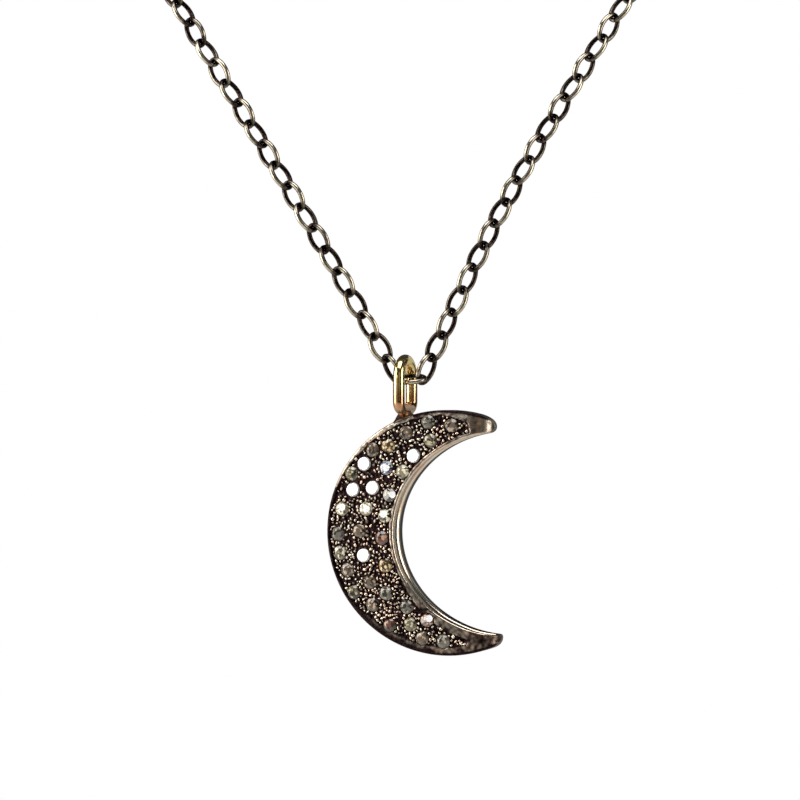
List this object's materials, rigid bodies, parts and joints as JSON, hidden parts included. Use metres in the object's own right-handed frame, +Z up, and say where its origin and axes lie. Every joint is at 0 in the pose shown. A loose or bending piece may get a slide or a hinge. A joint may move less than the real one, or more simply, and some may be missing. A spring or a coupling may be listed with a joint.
{
  "type": "crescent moon pendant necklace",
  "caption": "Crescent moon pendant of blackened silver set with small round stones, on a gold wire ring and an oval-link cable chain, closed by a plain clasp.",
  "frame": {"origin": "middle of the clasp at the nape, where the chain lies on the back of the neck", "axes": "+Z up; the pendant's side of the loop is towards -Y; the loop is about even in X"},
  "size_m": [0.1047, 0.1071, 0.1202],
  "materials": {
    "blackened_silver": "oxidised silver, dark in the recesses and rubbed bright on the rims and beads",
    "yellow_gold": "polished gold wire",
    "stone": "cut and polished, champagne to grey brown",
    "chain_silver": "oxidised silver wire, rubbed bright on the outside"
  },
  "bodies": {
    "necklace": {"chain": "chain_silver", "clasp": "chain_silver"},
    "pendant": {"moon": "blackened_silver", "stone_01": "stone", "stone_02": "stone", "stone_03": "stone", "stone_04": "stone", "stone_05": "stone", "stone_06": "stone", "stone_07": "stone", "stone_08": "stone", "stone_09": "stone", "stone_10": "stone", "stone_11": "stone", "stone_12": "stone", "stone_13": "stone", "stone_14": "stone", "stone_15": "stone", "stone_16": "stone", "stone_17": "stone", "stone_18": "stone", "stone_19": "stone", "stone_20": "stone", "stone_21": "stone", "stone_22": "stone", "stone_23": "stone", "stone_24": "stone", "stone_25": "stone", "stone_26": "stone", "stone_27": "stone", "stone_28": "stone", "stone_29": "stone", "stone_30": "stone", "stone_31": "stone", "stone_32": "stone", "stone_33": "stone", "stone_34": "stone"}
  },
  "joints": [
    {"name": "swing", "type": "hinge", "parent": "necklace", "child": "pendant", "pos_m": [0, -0.102, -0.097], "axis": [0.9397, -0.342, 0], "range_deg": [-90, 90]}
  ]
}
